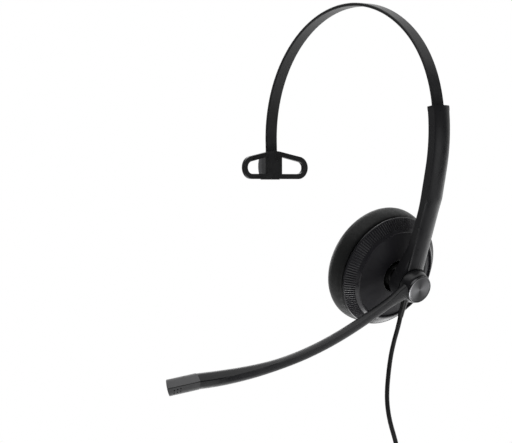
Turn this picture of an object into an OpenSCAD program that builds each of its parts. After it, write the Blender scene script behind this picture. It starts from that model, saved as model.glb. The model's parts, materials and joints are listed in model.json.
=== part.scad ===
// Wired office headset for one ear: sprung headband with a soft temple pad, a sliding arm,
// a tilting ear cup and a boom microphone that swivels on the cup's axis.
// Frame: X towards the ear cup, the wearer faces -Y, Z up, origin under the band's crown.

/* [Headband] */
// Width of the band's plastic skin
band_w = 7; // [6.6:0.1:7.4]
// Thickness of the band's plastic skin
band_t = 1.6; // [1.5:0.1:1.8]
// Width of the spring strip inside the skin
strip_w = 5.6; // [5:0.1:5.8]
// Thickness of the spring strip
strip_t = 0.8; // [0.6:0.1:0.8]
// Arch radius beside the crown, on the pad side
pad_top_r = 67; // [65:0.5:69]
// Arch radius of the pad-side limb
pad_limb_r = 65; // [63:0.5:67]
// Arch radius beside the crown, on the cup side
cup_top_r = 64.5; // [63:0.5:66]
// Arch radius of the cup-side shoulder
cup_shoulder_r = 57.5; // [56:0.5:59]
// Arch radius of the cup-side limb
cup_limb_r = 61.5; // [60:0.5:63]

/* [Temple pad] */
// Height of the pad's loop
pad_h = 14.8; // [14:0.2:16]
// Distance between the centres of the loop's end curves
pad_span = 31; // [28:0.5:34]
// Radius of the loop's end curves
pad_end_r = 6; // [5.5:0.1:6.5]
// Width of the loop's bar
pad_bar = 2.7; // [2.4:0.1:3]
// Thickness of the loop
pad_t = 2; // [1.8:0.1:2.4]
// Radius that the loop is bent to round the head
pad_bend_r = 200; // [150:10:300]

/* [Sliding arm] */
// Width of the arm
arm_w = 10; // [9.6:0.1:10.2]
// Thickness of the arm
arm_t = 5.2; // [5:0.1:5.4]
// Radius of the track that the arm slides on
slide_r = 85; // [80:1:90]
// Radius of the round end at the hub
paddle_r = 8.5; // [8.3:0.1:8.8]
// Pitch of the click stops along the strip
click_pitch = 2.5; // [2:0.1:3]
// Number of click stops
clicks = 9; // [6:1:9]

/* [Ear cup] */
// Outer radius of the shell's rim
rim_r = 28.4; // [28:0.1:29]
// Outer radius of the cushion
cushion_r = 29.8; // [29.2:0.1:30.5]
// Radius of the ball that the cup tilts on
ball_r = 3.2; // [3:0.1:3.3]
// Number of ribs round the shoulder
ribs = 132; // [90:6:140]

/* [Boom] */
// Radius of the boom's hub
hub_r = 8.3; // [8:0.1:8.6]
// Radius of the metal cap
cap_r = 6.8; // [6.5:0.1:7]
// Half width of the boom at its waist
boom_half_w = 2.55; // [2.3:0.05:2.8]
// Length of the microphone capsule
mic_len = 15; // [14:0.5:16]

/* [Cord] */
// Diameter of the cord
cord_d = 2.3; // [2:0.1:2.6]
// Middle radius of the coil's turns
coil_r = 13.5; // [12:0.5:15]

/* [Hidden] */
$fn = 72;

fit = 0.01;
over = 0.1;
crown_z = band_t / 2;

// Each limb is a chain of arcs: [radius, heading at its end], with headings measured from level
mouth_h = 82.5;
track_h = 103;
tail_h = 108.5;
hub_h = 110.7;
PAD_SIDE = [[pad_top_r, 40], [pad_limb_r, 92]];
CUP_SIDE = [[cup_top_r, 40], [cup_shoulder_r, 66], [cup_limb_r, mouth_h]];
TRACK = concat(CUP_SIDE, [[slide_r, track_h]]);

function out_of(h) = [sin(h), cos(h)];
function along(h) = [cos(h), -sin(h)];
function arc_c(A, i) = i == 0 ? [0, crown_z - A[0][0]]
  : arc_c(A, i - 1) + (A[i - 1][0] - A[i][0]) * out_of(A[i - 1][1]);
function arc_end(A, i) = arc_c(A, i) + A[i][0] * out_of(A[i][1]);

slide_c = arc_c(TRACK, 3);
bend_r = 70;
upper_len = 13.7;
lower_len = 35.4;
upper_p = arc_end(TRACK, 3);
bend_p = upper_p + upper_len * along(track_h);
bend_c = bend_p - bend_r * out_of(track_h);
lower_p = bend_c + bend_r * out_of(hub_h);
hub_p = lower_p + lower_len * along(hub_h);

// Levels on the hub's axis, from the middle of the arm outwards
seat_z = 1.7;
hub_base_z = 2;
hub_top_z = 6.9;
cap_top_z = 8.1;
ball_z = -12.7;
rim_z = -16.3;
split_z = -1;
track_gap = 0.7;
cord_z = -0.4;

// Boom route on the hub: P0..P3 of a Bezier curve, forwards and downwards, and its dip inwards
BOOM = [[3, -1], [40.5, 24.2], [60.5, 38.5], [115.1, 45.6]];
boom_z = 5.3;
boom_dip = 9;
boom_dip_from = 30;
boom_dip_over = 98;
mic_yaw = -76.3;
mic_dip = 9;
// The capsule's end is cut on the slant and slightly domed
mic_end_turn = 15;
mic_end_dip = 23;
mic_end_r = 40;

// Cord route by hand, from the strain relief's end to the coil's outer turn
CORD = [
  [35.5, 0, -153.8], [34.5, 0, -157], [33, 0, -161], [31, 0, -166], [29, 0, -172], [27.6, 0, -178], [26.6, 0, -184],
  [25.9, 0, -190], [25.5, 0.3, -196], [25.4, 1.2, -202], [25.4, 2.8, -208], [25.4, 5, -214],
  [25.4, 7, -220], [25.3, 8, -225], [25, 8.9, -228], [24.4, 10.7, -230.5], [23.6, 13, -232.5]
];
COIL_AT = [25.4, 8, -249];
coil_half = 5.3;
// Tail route by hand, from the coil's last turn to the plug's boot
TAIL = [[27.2, 13, -265.5], [26.4, 10.7, -267.5], [25.8, 8.9, -270], [25.4, 8.1, -273], [25.4, 8, -277]];
PLUG_AT = [25.4, 8, -277];

module on_path(p, h) {
  translate([p[0], 0, p[1]]) rotate([0, h, 0]) children();
}

module at_hub() {
  on_path(hub_p, hub_h) children();
}

module at_cup() {
  at_hub() translate([0, 0, rim_z]) children();
}

// Sweeps a profile (outwards, across) round an arc in the arch's plane
module arc(c, r, h0, h1) {
  translate([c[0], 0, c[1]]) rotate([90, 0, 0]) rotate([0, 0, 90 - h1])
    rotate_extrude(angle = h1 - h0) translate([r, 0]) children();
}

// Runs the same profile straight on from a point of the path
module run(p, h, len) {
  on_path(p, h) rotate([0, 90, 0]) rotate([0, 0, 180]) linear_extrude(len) children();
}

function unit(v) = v / norm(v);

// Closed solid through a list of rings of points
module skinned(rings) {
  n = len(rings[0]);
  m = len(rings);
  polyhedron(
    points = [for (q = rings) for (p = q) p],
    faces = concat(
      [[for (k = [0 : n - 1]) k]],
      [for (i = [0 : m - 2]) for (k = [0 : n - 1]) [i * n + k, (i + 1) * n + k, i * n + (k + 1) % n]],
      [for (i = [0 : m - 2]) for (k = [0 : n - 1]) [i * n + (k + 1) % n, (i + 1) * n + k, (i + 1) * n + (k + 1) % n]],
      [[for (k = [n - 1 : -1 : 0]) (m - 1) * n + k]]
    )
  );
}

// Stations along the path: [point, heading], from just after heading a to heading b
step_h = 2.5;
function arc_line(c, r, a, b) = let (n = ceil((b - a) / step_h))
  [for (i = [1 : n]) let (h = a + (b - a) * i / n) [c + r * out_of(h), h]];
function limb_line(A, i = 0) = i == len(A) ? []
  : concat(arc_line(arc_c(A, i), A[i][0], i == 0 ? 0 : A[i - 1][1], A[i][1]), limb_line(A, i + 1));
function flipped(S) = [for (i = [len(S) - 1 : -1 : 0]) [[-S[i][0][0], S[i][0][1]], -S[i][1]]];

// A profile (outwards, across) set at a station
function placed(st, profile) = [for (i = [len(profile) - 1 : -1 : 0])
  let (v = st[0] + profile[i][0] * out_of(st[1])) [v[0], profile[i][1], v[1]]];
module sweep(S, profile) {
  skinned([for (st = S) placed(st, profile)]);
}

function block(w, z0, z1) = [[z0, -w / 2], [z1, -w / 2], [z1, w / 2], [z0, w / 2]];

CROWN = [[0, crown_z], 0];
HEAD_LINE = concat(flipped(limb_line(PAD_SIDE)), [CROWN], limb_line(CUP_SIDE));
pad_p = arc_end(PAD_SIDE, 1);
pad_h_end = PAD_SIDE[1][1];
skin_foot = 7.6;
strip_foot = 13;
function below_pad_side(len) = flipped([[pad_p + len * along(pad_h_end), pad_h_end]]);

module disc(r, z0, z1) {
  translate([0, 0, z0]) cylinder(r = r, h = z1 - z0);
}

module turn(profile) {
  rotate_extrude() polygon(profile);
}

// ---------- headband ----------

module slab(w, t) {
  square([t, w], center = true);
}

function skin_profile(c) = let (h = band_w / 2, t = band_t / 2)
  [[-t, c - h], [c - t, -h], [t - c, -h], [t, c - h], [t, h - c], [t - c, h], [c - t, h], [-t, h - c]];

skin_end_h = mouth_h + 0.7;
skin_edge = 0.35;
SKIN_LINE = concat(below_pad_side(skin_foot), HEAD_LINE, arc_line(slide_c, slide_r, mouth_h, skin_end_h));
module band_skin() color("#26272a") difference() {
  sweep(SKIN_LINE, skin_profile(skin_edge));
  sweep(STRIP_LINE, block(strip_w + 2 * fit, -strip_t / 2 - fit, strip_t / 2 + fit));
}

click_step = click_pitch / slide_r * 180 / PI;
click_h = mouth_h + 5;
module at_track(h) {
  on_path(slide_c + slide_r * out_of(h), h) children();
}

STRIP_LINE = concat(below_pad_side(strip_foot), HEAD_LINE, arc_line(slide_c, slide_r, mouth_h, tail_h));
module band_strip() color("#8b8d90") difference() {
  sweep(STRIP_LINE, block(strip_w, -strip_t / 2, strip_t / 2));
  for (i = [0 : clicks]) at_track(click_h + i * click_step) cylinder(r = 0.6, h = 2, center = true);
  at_track(tail_h - 1) cylinder(r = 0.7, h = 2, center = true);
  pad_rivet_places() cylinder(r = rivet_r + fit, h = 20, center = true);
}

// A block riveted on the strip's end runs in the arm's groove and stops it from pulling out
module tail_stop() color("#b0b2b5") at_track(tail_h - 1) {
  translate([0, 0, strip_t / 2 + 0.45]) cube([2.4, 3, 0.9], center = true);
  cylinder(r = 0.69, h = strip_t, center = true);
}

// ---------- temple pad ----------

pad_x = -64;
pad_mid_z = -80.4;
boss_w = 9.6;
rivet_r = 0.8;
rivet_head_r = 1.4;
rivet_bite = 1.2;
boss_in_x = pad_x - pad_t / 2;
boss_split_x = -68.5;
boss_out_x = -71.8;
boss_top_z = -72.6;
boss_foot_z = -86.7;

module loop_outline(inset) {
  hull() {
    for (s = [-1, 1]) translate([s * pad_span / 2, pad_mid_z]) circle(r = pad_end_r - inset, $fn = 48);
    translate([0, pad_mid_z - pad_end_r + pad_h - 2.4]) scale([3.2, 1]) circle(r = 2.4 - inset * 0.8, $fn = 48);
  }
}

module temple_pad() color("#1f2023") difference() {
  pad_loop();
  pad_rivet_places() cylinder(r = rivet_r + fit, h = 2 * rivet_bite, center = true);
}

module pad_loop() intersection() {
  translate([pad_x - 3, 0, 0]) rotate([90, 0, 90]) linear_extrude(12) difference() {
    loop_outline(0);
    difference() {
      loop_outline(pad_bar);
      translate([0, pad_mid_z]) square([boss_w, 3 * pad_h], center = true);
    }
  }
  translate([pad_x + pad_bend_r, 0, pad_mid_z]) difference() {
    cylinder(r = pad_bend_r + pad_t / 2, h = 30, center = true, $fn = 180);
    cylinder(r = pad_bend_r - pad_t / 2, h = 31, center = true, $fn = 180);
  }
}

// Side outline of the boss: flat on the pad, crowned outside
module boss_side() {
  mid = (boss_top_z + boss_foot_z) / 2;
  half = (boss_top_z - boss_foot_z) / 2;
  crown = 2.2;
  r = (half * half + crown * crown) / (2 * crown);
  intersection() {
    translate([boss_out_x, boss_foot_z]) square([boss_in_x - boss_out_x, 2 * half]);
    translate([boss_out_x + r, mid]) circle(r = r);
  }
}

module boss_block(w) {
  rotate([90, 0, 0]) linear_extrude(w, center = true) boss_side();
}

module boss_slot() {
  mirror([1, 0, 0]) run(pad_p - 3 * along(pad_h_end), pad_h_end, strip_foot + 3) slab(strip_w + 2 * fit, strip_t + 2 * fit);
  sweep(SKIN_LINE, skin_profile(skin_edge - fit));
}

module pad_rivet_places() {
  for (z = [-76.2, -82]) translate([boss_in_x, 0, z]) rotate([0, 90, 0]) children();
}

module pad_boss() color("#5b5d61") difference() {
  intersection() {
    boss_block(boss_w);
    translate([boss_split_x, -10, -100]) cube([20, 20, 40]);
  }
  boss_slot();
  pad_rivet_places() cylinder(r = rivet_r + fit, h = 20, center = true);
}

module pad_boss_cap() color("#6a6c70") difference() {
  intersection() {
    boss_block(boss_w - 0.6);
    translate([boss_split_x - 20, -10, -100]) cube([20, 20, 40]);
  }
  pad_rivet_places() translate([0, 0, boss_split_x - boss_in_x - 1.2]) cylinder(r = rivet_head_r + fit, h = 2);
}

// Two rivets hold the boss and the pad on the strip; the cap hides their heads
module pad_rivets() color("#b0b2b5") pad_rivet_places() {
  disc(rivet_r, boss_split_x - boss_in_x, rivet_bite);
  disc(rivet_head_r, boss_split_x - boss_in_x - 1, boss_split_x - boss_in_x);
}

// ---------- sliding arm ----------

// Arm section: flat inside, small chamfers and a slightly crowned face, which stands proud of the hub's end
crown_r = 16;
function arm_profile(grow, proud) = let (t = arm_t / 2, w = arm_w / 2 + grow, f = t + proud) concat(
  [[-t, w - 0.7], [-t, 0.7 - w], [0.7 - t, -w], [f - 0.9, -w]],
  [for (y = [-4.5 : 1.5 : 4.5]) [f - crown_r + sqrt(crown_r * crown_r - y * y), y]],
  [[f - 0.9, w], [0.7 - t, w]]
);

// Arm stations as [point, heading, extra half width, extra thickness]: a lip at the mouth, then a plain
// section, whose face steps down before the hub so that the boom passes over it
lip_h = mouth_h + 1.9;
arm_proud = 0.8;
proud_ends_h = 108;
MOUTH = [for (m = [[0, 0.05], [0.25, 0.2], [1.2, 0.2]])
  [slide_c + slide_r * out_of(mouth_h + m[0]), mouth_h + m[0], m[1], arm_proud]];
function thick(S) = [for (st = S) [st[0], st[1], 0, st[1] < track_h ? arm_proud
  : arm_proud * max(0, (proud_ends_h - st[1]) / (proud_ends_h - track_h))]];
ARM_LINE = concat(MOUTH, thick(concat(
  [[slide_c + slide_r * out_of(lip_h), lip_h]], arc_line(slide_c, slide_r, lip_h, track_h),
  [[bend_p, track_h]], arc_line(bend_c, bend_r, track_h, hub_h), [[hub_p, hub_h]]
)));
BEFORE_MOUTH = [slide_c + slide_r * out_of(mouth_h - 1), mouth_h - 1];
BEYOND_HUB = [hub_p + 12 * along(hub_h), hub_h];

// The end's inner side swells towards the cup, up to the seat of the ball stud
swell_z = -5.4;
module arm_swell() at_hub() intersection() {
  rotate([90, 0, 0]) linear_extrude(2 * paddle_r, center = true)
    polygon([[-30, -2], [-28, -2.6], [-18, -3.3], [-11, -4.5], [-5, -5.3], [-1, swell_z], [4, swell_z], [6.6, -4.8],
      [8.2, -3.4], [8.6, -2]]);
  translate([0, 0, -8]) linear_extrude(7) {
    circle(r = paddle_r - 0.2);
    polygon([[-30, 0.7 - arm_w / 2], [flare_x, 0.7 - arm_w / 2], [-5, -6.6], [-5, 6.6], [flare_x, arm_w / 2 - 0.7],
      [-30, arm_w / 2 - 0.7]]);
  }
}

flare_x = -19;
module arm_solid() {
  arm_swell();
  skinned([for (st = ARM_LINE) placed(st, arm_profile(st[2], st[3]))]);
  at_hub() disc(paddle_r, -arm_t / 2, seat_z);
  at_hub() translate([0, 0, -arm_t / 2]) linear_extrude(arm_t / 2 + 1.2)
    polygon([[flare_x, arm_w / 2 - 0.8], [flare_x, 0.8 - arm_w / 2], [-3.2, -7.85], [0, -6], [0, 6], [-3.2, 7.85]]);
}

// Everything on one side of the arm's split
module arm_slice(z0, z1) {
  sweep(concat([BEFORE_MOUTH], ARM_LINE, [BEYOND_HUB]), block(30, z0, z1));
}

module track() {
  arc(slide_c, slide_r, mouth_h - 1, tail_h + 0.6) slab(strip_w + 0.6, 2 * track_gap);
  arc(slide_c, slide_r, mouth_h - 1, skin_end_h + 0.6) slab(band_w + 0.6, band_t + 0.6);
}

stop_top = 1.6;
stop_travel = 15.3;
module stop_groove() {
  arc(slide_c, slide_r, tail_h - 1.9 - stop_travel, tail_h + 0.6) translate([stop_top / 2, 0]) square([stop_top, 3.6], center = true);
}

leaf_h0 = mouth_h + 2.2;
leaf_h1 = mouth_h + 8.4;
module leaf_pocket() {
  arc(slide_c, slide_r, leaf_h0 - 0.1, leaf_h1 + 0.1) translate([0.8, 0]) square([1.6, 3.7], center = true);
}

// A leaf spring over the strip; its bump is drawn lifted, as it is between two click stops
module detent_leaf() color("#c2c4c6") {
  arc(slide_c, slide_r, leaf_h0, leaf_h1) translate([1.425, 0]) square([0.25, 3.6], center = true);
  at_track(click_h) disc(0.5, 0.75, 1.35);
}

screw_x = [-40, -14];
module arm_screw_places() {
  at_hub() for (x = screw_x) translate([x, 0, x < -lower_len ? -0.3 : 0]) children();
}

module relief_bore(r) {
  at_hub() translate([4.8, 0, cord_z]) rotate([0, 90, 0]) cylinder(r = r, h = 10);
}

module hub_seat() {
  at_hub() disc(9, seat_z, 10);
}

module arm_shell() color("#1b1c1e") difference() {
  intersection() {
    arm_solid();
    arm_slice(split_z, 4);
  }
  track();
  stop_groove();
  leaf_pocket();
  hub_seat();
  at_hub() disc(3, -0.2, 4);
  at_hub() disc(1.5, -4, 0);
  at_hub() disc(paddle_r + 2, -4, split_z);
  relief_bore(1.6);
  arm_screw_places() disc(0.7, -3, 1);
}

module arm_cover() color("#222326") difference() {
  intersection() {
    arm_solid();
    arm_slice(-7, split_z);
  }
  track();
  at_hub() disc(1.5, -7, 0);
  relief_bore(1.6);
  arm_screw_places() disc(0.9, -7, 0);
  arm_screw_places() disc(1.7, -7, -1.9);
}

module arm_screws() color("#9a9ca0") arm_screw_places() difference() {
  union() {
    disc(0.7 - fit, -1.9, 0.8);
    disc(1.6, -2.6, -1.9);
  }
  for (a = [45, 135]) rotate([0, 0, a]) translate([0, 0, -2.5]) cube([2, 0.4, 0.6], center = true);
}

module ball_stud() color("#b9bbbe") at_hub() {
  disc(1.5 - fit, swell_z, -0.3);
  disc(2.6, swell_z - 0.8, swell_z);
  disc(1.6, ball_z + 1, swell_z - 0.8);
  translate([0, 0, ball_z]) sphere(r = ball_r);
}

module pivot_post() color("#b79c58") at_hub() difference() {
  disc(3 - fit, -0.2, 5.6);
  disc(1.2, 1, 7);
}

module pivot_screw() color("#9a9ca0") at_hub() difference() {
  union() {
    disc(1.19, 1.5, 5.6);
    disc(4.3, 5.6, 6.4);
  }
  translate([0, 0, 6]) cube([6, 0.8, 1], center = true);
}

module friction_washer() color("#cfcfca") at_hub() difference() {
  disc(7.2, seat_z, hub_base_z - 0.05);
  disc(3.2, seat_z - over, hub_base_z + over);
}

relief_len = 9;
module strain_relief() color("#1d1e20") at_hub() translate([5, 0, cord_z]) rotate([0, 90, 0]) difference() {
  union() {
    cylinder(r = 1.6 - fit, h = 3.7);
    translate([0, 0, 3.7]) cylinder(r1 = 1.6, r2 = 1.35, h = relief_len);
  }
  translate([0, 0, -over]) cylinder(r = cord_d / 2, h = relief_len + 5);
}

// ---------- cord ----------

function heading(P, i) = unit(P[min(i + 1, len(P) - 1)] - P[max(i - 1, 0)]);
function ring(P, i, r, n) =
  let (t = heading(P, i), u = unit(cross(t, [0, 1, 0])), v = cross(t, u))
  [for (k = [0 : n - 1]) P[i] + r * (cos(360 * k / n) * u + sin(360 * k / n) * v)];
module tube(P) {
  skinned([for (i = [0 : len(P) - 1]) ring(P, i, cord_d / 2, 8)]);
}

// The cord starts inside the strain relief and runs straight through it
CORD_IN = [for (x = [5.2, 10, 15]) let (q = hub_p + x * along(hub_h) + cord_z * out_of(hub_h)) [q[0], 0, q[1]]];
module cord() color("#1a1b1d") tube(concat(CORD_IN, CORD));

module cord_coil() color("#1a1b1d") translate(COIL_AT) rotate([0, 90, 0])
  rotate_extrude() translate([coil_r, 0]) circle(r = coil_half, $fn = 24);

module coil_tie() color("#2c2d30") translate(COIL_AT) rotate([0, 90, 0]) intersection() {
  rotate([0, 0, 78]) rotate_extrude(angle = 24) translate([coil_r, 0]) difference() {
    circle(r = coil_half + 0.9);
    circle(r = coil_half + fit);
  }
  cube(60, center = true);
}

module cord_tail() color("#1a1b1d") tube(TAIL);

// ---------- modular plug ----------

plug_w = 7.65;
plug_len = 17;
plug_t = 6.6;
module at_plug() {
  translate(PLUG_AT) rotate([180, 0, 0]) children();
}

module plug_boot() color("#1d1e20") at_plug() difference() {
  translate([0, 0, -2]) cylinder(r1 = 1.7, r2 = 2.6, h = 7);
  translate([0, 0, -3]) cylinder(r = cord_d / 2, h = 3);
}

latch_t = 0.7;
latch_x = -plug_t / 2 - latch_t / 2 - 0.25;
latch_z = 5 + plug_len - 1;
module plug_body() color("#c9cdd0") at_plug() difference() {
  union() {
    translate([-plug_t / 2, -plug_w / 2, 5]) cube([plug_t, plug_w, plug_len]);
    for (s = [-1, 1]) translate([latch_x - 0.6, s * 2.1 - 0.35, latch_z - 0.8]) cube([2, 0.7, 1.6]);
  }
  translate([latch_x, 0, latch_z]) rotate([90, 0, 0]) cylinder(r = 0.35, h = 6, center = true);
  for (i = [-1.5 : 1.5]) translate([plug_t / 2 - 1.6, i * 1.02 - 0.18, 5 + plug_len - 5]) cube([2, 0.36, 6]);
}

module plug_contacts() color("#c8a24a") at_plug()
  for (i = [-1.5 : 1.5]) translate([plug_t / 2 - 1.6, i * 1.02 - 0.16, 5 + plug_len - 5]) cube([1.3, 0.32, 4.6]);

// The latch turns on two stub pins, which stand in for the moulded hinge at the plug's nose
latch_open = 12;
module plug_latch() color("#d6dadd") at_plug() translate([latch_x, 0, latch_z]) {
  rotate([0, latch_open, 0]) translate([-latch_t / 2, -1.6, -13]) cube([latch_t, 3.2, 13.3]);
  rotate([90, 0, 0]) cylinder(r = 0.3, h = 4.4, center = true);
}

// ---------- ear cup ----------

module ball_cage() color("#1b1b1d") at_hub() translate([0, 0, ball_z]) difference() {
  sphere(r = 4.3);
  sphere(r = ball_r + 0.08);
  disc(6, 1.5, 6);
}

seat_r = 26.4;
shoulder_foot = 0.5;
shoulder_top = 4.3;
module cup_shell() color("#1c1d1f") at_cup() difference() {
  union() {
    turn([
      [25.2, -3], [seat_r, -3], [seat_r, -1], [27.5, -0.8], [rim_r - 0.1, -0.4], [rim_r, 0], [rim_r - 0.15, 0.35],
      [28.05, shoulder_foot], [27, shoulder_foot], [23.2, shoulder_top], [24.2, shoulder_top], [22.9, 5.5],
      [22.3, 5.5], [22.3, 3.4], [20.6, 3.4], [20.6, 2.2], [22.2, 2.2], [24.6, -0.2]
    ]);
    for (a = [60 : 120 : 300]) rotate([0, 0, a]) translate([23.6, 0, 0]) disc(2, -3, 1);
  }
  for (a = [60 : 120 : 300]) rotate([0, 0, a]) translate([23.6, 0, 0]) disc(0.8, -4, 0.2);
}

// Fine ribs round the shoulder, one ring of points at each corner of the ring's section
rib_deep = 0.45;
rib_seat = 0.05;
function rib_loop(r, z, deep) = [for (k = [0 : 2 * ribs - 1])
  let (a = 180 * k / ribs, p = r - (k % 2) * deep) [p * cos(a), p * sin(a), z]];
module rib_ring() color("#202124") at_cup() {
  loops = [
    rib_loop(28, shoulder_foot, rib_deep), rib_loop(24.2, shoulder_top, rib_deep),
    rib_loop(23.2 + rib_seat, shoulder_top, 0), rib_loop(27 + rib_seat, shoulder_foot, 0)
  ];
  n = 2 * ribs;
  polyhedron(
    points = [for (q = loops) for (p = q) p],
    faces = [for (i = [0 : 3]) for (k = [0 : n - 1]) for (half = [0, 1])
      let (j = (i + 1) % 4, l = (k + 1) % n)
      half == 0 ? [i * n + k, j * n + k, i * n + l] : [i * n + l, j * n + k, j * n + l]]
  );
}

lip_z = 6.9;
floor_z = 0.2;
module face_plate() color("#232427") at_cup() difference() {
  turn([
    [5, -1], [9.6, -1], [9.6, 5], [20.4, 3.4], [22.2, 3.4], [22.2, 4.8], [21.8, 5], [15, 5.9],
    [10.4, 6.5], [9, lip_z], [8.6, lip_z], [8.3, lip_z - 0.3], [8.3, floor_z], [5, floor_z]
  ]);
  socket_screw_places() disc(0.6, -2, 1);
}

module socket_screw_places() {
  for (a = [90 : 120 : 330]) rotate([0, 0, a]) translate([6.9, 0, 0]) children();
}

module ball_socket() color("#2b2c2f") at_cup() difference() {
  turn([[0, -1.8], [4.95, -1.8], [4.95, floor_z], [8.1, floor_z], [8.1, 1.2], [6, 1.6], [6, 5], [5.6, 5.4], [0, 5.4]]);
  translate([0, 0, ball_z - rim_z]) sphere(r = 4.38);
  translate([0, 0, ball_z - rim_z]) cylinder(r1 = 4, r2 = 4.6, h = 4);
  socket_screw_places() disc(0.55, 0, 1);
}

module socket_screws() color("#9a9ca0") at_cup() socket_screw_places() {
  disc(0.54, -1, 0.9);
  disc(1.1, -1.7, -1);
}

module baffle() color("#17181a") at_cup() difference() {
  turn([
    [seat_r, -3], [seat_r, -4.4], [16.4, -4.4], [16.4, -8.2], [12.5, -8.2], [12.5, -7.4], [15.2, -7.4], [15.2, -3]
  ]);
  for (a = [60 : 120 : 300]) rotate([0, 0, a]) translate([23.6, 0, 0]) {
    disc(0.85, -5, -2);
    disc(1.75, -5, -3.8);
  }
}

module baffle_screws() color("#9a9ca0") at_cup()
  for (a = [60 : 120 : 300]) rotate([0, 0, a]) translate([23.6, 0, 0]) {
    disc(0.79, -3.8, 0);
    disc(1.7, -4.4, -3.8);
  }

module speaker_grille() color("#101112") at_cup() difference() {
  disc(12.5 - fit, -8.2, -7.5);
  for (ring = [1 : 3]) for (k = [0 : 6 * ring - 1]) rotate([0, 0, 60 * k / ring])
    translate([3.2 * ring, 0, 0]) cylinder(r = 0.8, h = 30, center = true, $fn = 16);
}

module driver_frame() color("#3a3b3e") at_cup()
  turn([[12.4, -7.4], [15.1, -7.4], [15.1, -5.2], [7.2, -3.6], [7.2, -4.4], [13, -5.8], [13, -6.6], [12.4, -6.6]]);

module driver_diaphragm() color("#d8cfae") at_cup()
  turn([[0, -6.1], [4, -6.4], [4.4, -6.9], [8, -6.5], [12.3, -7.1], [12.3, -7], [8, -6.35], [4.4, -6.75], [4, -6.25], [0, -5.95]]);

module driver_yoke() color("#8e9194") at_cup()
  turn([[0, -2.6], [7.1, -2.6], [7.1, -5.6], [6.2, -5.6], [6.2, -3.4], [0, -3.4]]);

module driver_magnet() color("#c5c8cb") at_cup() disc(4, -5.2, -3.4);

module terminal_board() color("#2f6b3c") at_cup() translate([0, -18.5, -2.5]) difference() {
  cube([9, 4.4, 1], center = true);
  for (x = [-3 : 2 : 3]) translate([x, 0, 0]) cylinder(r = 0.45, h = 3, center = true);
}

module ear_scrim() color("#0f1011") at_cup() disc(16.3, -8.6, -8.2);

module cushion_ring() color("#2a2b2e") at_cup() difference() {
  disc(seat_r, -5.4, -4.4);
  disc(16.6, -6, -4);
}

module ear_cushion() color("#141416") at_cup()
  turn([
    [16.8, -5.4], [26.5, -5.4], [26.5, -2.2], [27.3, -1.7], [28.2, -2.1], [28.9, -3.2], [29.4, -4.9], [29.7, -6.8],
    [cushion_r, -8.6], [29.5, -10.4], [28.4, -12.2], [26.3, -13.9], [23.7, -14.8], [20.7, -14.9], [18.3, -14.3],
    [16.8, -12.9], [16.5, -10.4], [16.6, -8.2]
  ]);

// ---------- boom ----------

// Sections of the capsule, in mm, and of the boom, as shares of its half sizes: outwards, downwards.
// The eighth point is the boom's ridge, which runs out into the groove of the capsule's seam
seam_y = -1.7;
MIC_SECTION = [
  [-3, 0], [-2.9, -2.3], [-2.3, -3.3], [-1.1, -3.8], [0.3, -3.6], [1.75, -2.7], [3, -2], [2.75, seam_y],
  [3.05, -1.4], [2.75, 1.1], [2.3, 2.6], [1.4, 3.5], [0.2, 3.85], [-1.2, 3.75], [-2.3, 3.2], [-2.9, 2.2]
];
BOOM_SECTION = [
  [-1, 0], [-0.95, -0.45], [-0.8, -0.8], [-0.5, -0.95], [0, -1], [0.5, -0.99], [0.85, -0.96], [0.98, -0.88],
  [1, -0.35], [0.98, 0.1], [0.9, 0.5], [0.68, 0.8], [0.3, 0.97], [-0.2, 1], [-0.65, 0.85], [-0.93, 0.5]
];

function bezier(P, t) = pow(1 - t, 3) * P[0] + 3 * pow(1 - t, 2) * t * P[1] + 3 * (1 - t) * t * t * P[2] + pow(t, 3) * P[3];
function boom_at(t) = let (q = bezier(BOOM, t), d = max(0, q[0] - boom_dip_from) / boom_dip_over)
  [q[1], -q[0], boom_z - boom_dip * d * d];
function ease(a, b, t) = let (s = min(1, max(0, (t - a) / (b - a)))) s * s * (3 - 2 * s);

// Boom section: a flat top that meets the outer face in a crisp ridge, blended into the capsule's section
boom_steps = 34;
mic_turn = [cos(mic_yaw) * cos(mic_dip), sin(mic_yaw) * cos(mic_dip), -sin(mic_dip)];
function boom_ring(i) =
  let (
    t = i / boom_steps,
    turned = ease(0.86, 1, t),
    full = ease(0.66, 1, t),
    root = 1.6 * (1 - ease(0.02, 0.13, t)),
    d = unit((1 - turned) * unit(boom_at(min(1, t + 0.02)) - boom_at(max(0, t - 0.02))) + turned * mic_turn),
    down = unit(cross([0, 0, 1], d)),
    outward = cross(d, down),
    w = boom_half_w + root - 0.15 * (ease(0, 0.3, t) - ease(0.5, 0.8, t)),
    h = 1.8 + 0.4 * ease(0, 0.35, t)
  )
  [for (k = [len(MIC_SECTION) - 1 : -1 : 0])
    let (a = BOOM_SECTION[k], b = MIC_SECTION[k] * 0.96)
    boom_at(t) + (h * a[0] * (1 - full) + b[0] * full) * outward + (w * a[1] * (1 - full) + b[1] * full) * down];

module boom_arm() color("#202124") at_hub() difference() {
  union() {
    turn([[0, hub_base_z], [hub_r, hub_base_z], [hub_r, 3.4], [7.5, 6.4], [7, hub_top_z], [0, hub_top_z]]);
    skinned([for (i = [1 : boom_steps]) boom_ring(i)]);
  }
  disc(3.05, hub_base_z - 1, 6);
  disc(5, 5.5, 10);
  disc(cap_r, hub_top_z, 10);
}

module boom_cap() color("#6d6f73") at_hub()
  turn([[0, hub_top_z], [cap_r, hub_top_z], [cap_r, cap_top_z - 0.3], [cap_r - 0.3, cap_top_z], [0, cap_top_z - 0.15]]);

module at_mic() {
  at_hub() translate(boom_at(1)) rotate([0, 0, mic_yaw]) rotate([0, mic_dip, 0]) children();
}

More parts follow.
